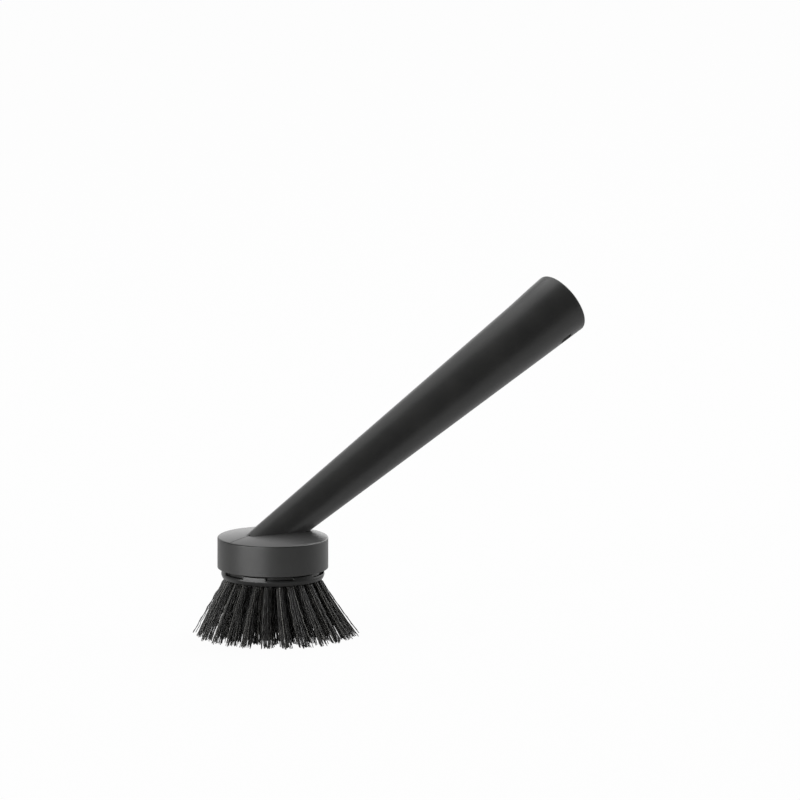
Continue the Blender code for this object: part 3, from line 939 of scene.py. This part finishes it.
paper = {
    "size": 14.0, "tone": 0.63, "roughness": 0.9, "shine": 0.1,
    "fibre": (900.0, 2.0, 0.5), "fibreTone": 0.005,      # a noise as in mouldedLook
    "cameraWhite": 0.97, "mirrorWhite": 0.15,
}
backdrop = {
    "ambient": 0.02,
    "glow": 2.7, "glowTurn": 143.0, "glowHalf": 48.0, "glowRise": 7.0, "glowRiseHalf": 23.0,
    "mirroredTurn": 180.0, "mirroredHalf": 60.0, "mirroredRise": 0.0, "mirroredRiseHalf": 24.0,
    "softFrom": 0.5, "softTo": 1.5,      # a field fades between these shares of its half
}
pureWhite = (1.0, 1.0, 1.0, 1.0)
lampAim = (0.03, 0.0, 0.0)       # where a box looks that has no aim of its own
softBoxes = [
    {"name": "lowStrip", "turn": 314.0, "rise": 7.2, "distance": 2.0,
     "size": (2.29, 0.49), "radiance": 11.4},
    {"name": "highBox", "turn": 137.0, "rise": 48.0, "distance": 2.0,
     "size": (1.10, 0.72), "radiance": 8.0},
    {"name": "backBox", "turn": 198.0, "rise": 60.0, "distance": 1.0,
     "size": (0.84, 0.86), "radiance": 0.88},
    {"name": "endBox", "turn": 205.0, "rise": 68.0, "distance": 0.16,
     "size": (0.06, 0.15), "radiance": 1.7, "aim": (0.184, 0.0, 0.146)},
    {"name": "frontBox", "turn": 325.0, "rise": 40.0, "distance": 2.0,
     "size": (0.55, 0.40), "radiance": 14.5},
]


def makeFloor():
    deselectAll()
    bpy.ops.mesh.primitive_plane_add(size=paper["size"], location=(0, 0, 0))
    floor = takeNew("floor")
    material, tree, shader = newMaterial("paperFloor")
    place = addNode(tree, "ShaderNodeTexCoord", outlet="Object")
    low, high = paper["tone"] - paper["fibreTone"], paper["tone"] + paper["fibreTone"]
    fibre = addNoise(tree, place, *paper["fibre"])
    plug(mixColours(tree, fibre, (low, low, low), (high, high, high)), shader.inputs["Base Color"])
    shader.inputs["Roughness"].default_value = paper["roughness"]
    shader.inputs["Specular IOR Level"].default_value = paper["shine"]
    seen, mirrored = rayKinds(tree)
    share = (seen * paper["cameraWhite"] + mirrored * paper["mirrorWhite"]).clamp()
    white = addNode(tree, "ShaderNodeEmission", Color=pureWhite, Strength=1.0)
    mixed = addNode(tree, "ShaderNodeMixShader", i0=share, i1=Wire(tree, shader.outputs[0]), i2=white)
    plug(mixed, tree.nodes["Material Output"].inputs["Surface"])
    floor.data.materials.append(material)


def makeWorld():
    world = bpy.data.worlds.new("studioWorld")
    bpy.context.scene.world = world
    world.use_nodes = True
    tree = world.node_tree
    tree.nodes.clear()
    direction = addNode(tree, "ShaderNodeTexCoord", outlet="Generated")

    def along(vector):
        return addNode(tree, "ShaderNodeVectorMath", {"operation": "DOT_PRODUCT"}, outlet="Value",
                       i0=direction, i1=tuple(vector))

    turn = along(directionTo(90, 0)).math("ARCTAN2", along(directionTo(0, 0)))
    rise = along((0, 0, 1)).math("ARCSINE")

    def fade(angle, half):
        # 1 at the field's middle, 0 well past its half
        half = math.radians(half)
        return 1 - angle.math("ABSOLUTE").ramp(half * backdrop["softFrom"], half * backdrop["softTo"])

    def field(kind):
        # a soft-edged field of the backdrop; a turn is never more than half way round
        aside = addNode(tree, "ShaderNodeMath", {"operation": "WRAP"}, i1=math.pi, i2=-math.pi,
                        i0=turn - math.radians(backdrop[kind + "Turn"]))
        above = rise - math.radians(backdrop[kind + "Rise"])
        return fade(aside, backdrop[kind + "Half"]) * fade(above, backdrop[kind + "RiseHalf"])

    seen, mirrored = rayKinds(tree)
    level = backdrop["ambient"] + field("glow") * backdrop["glow"]
    level = level.math("MAXIMUM", mirrored * field("mirrored"))
    around = addNode(tree, "ShaderNodeBackground", Color=pureWhite, Strength=level)
    white = addNode(tree, "ShaderNodeBackground", Color=pureWhite, Strength=1.0)
    mixed = addNode(tree, "ShaderNodeMixShader", i0=seen, i1=around, i2=white)
    addNode(tree, "ShaderNodeOutputWorld", Surface=mixed)


def makeSoftBox(box):
    lamp = bpy.data.lights.new(box["name"], "AREA")
    lamp.shape = "RECTANGLE"
    lamp.size, lamp.size_y = box["size"]
    lamp.energy = box["radiance"] * math.pi * box["size"][0] * box["size"][1]
    away = directionTo(box["turn"], box["rise"])
    lampObject = bpy.data.objects.new(box["name"], lamp)
    lampObject.location = Vector(box.get("aim", lampAim)) + away * box["distance"]
    lampObject.rotation_euler = away.to_track_quat("Z", "Y").to_euler()
    bpy.context.scene.collection.objects.link(lampObject)
    lampObject.visible_camera = False


makeCamera()
makeFloor()
makeWorld()
for softBox in softBoxes:
    makeSoftBox(softBox)
bpy.context.scene.view_settings.view_transform = "Standard"
print("camera and studio ready")

deselectAll()
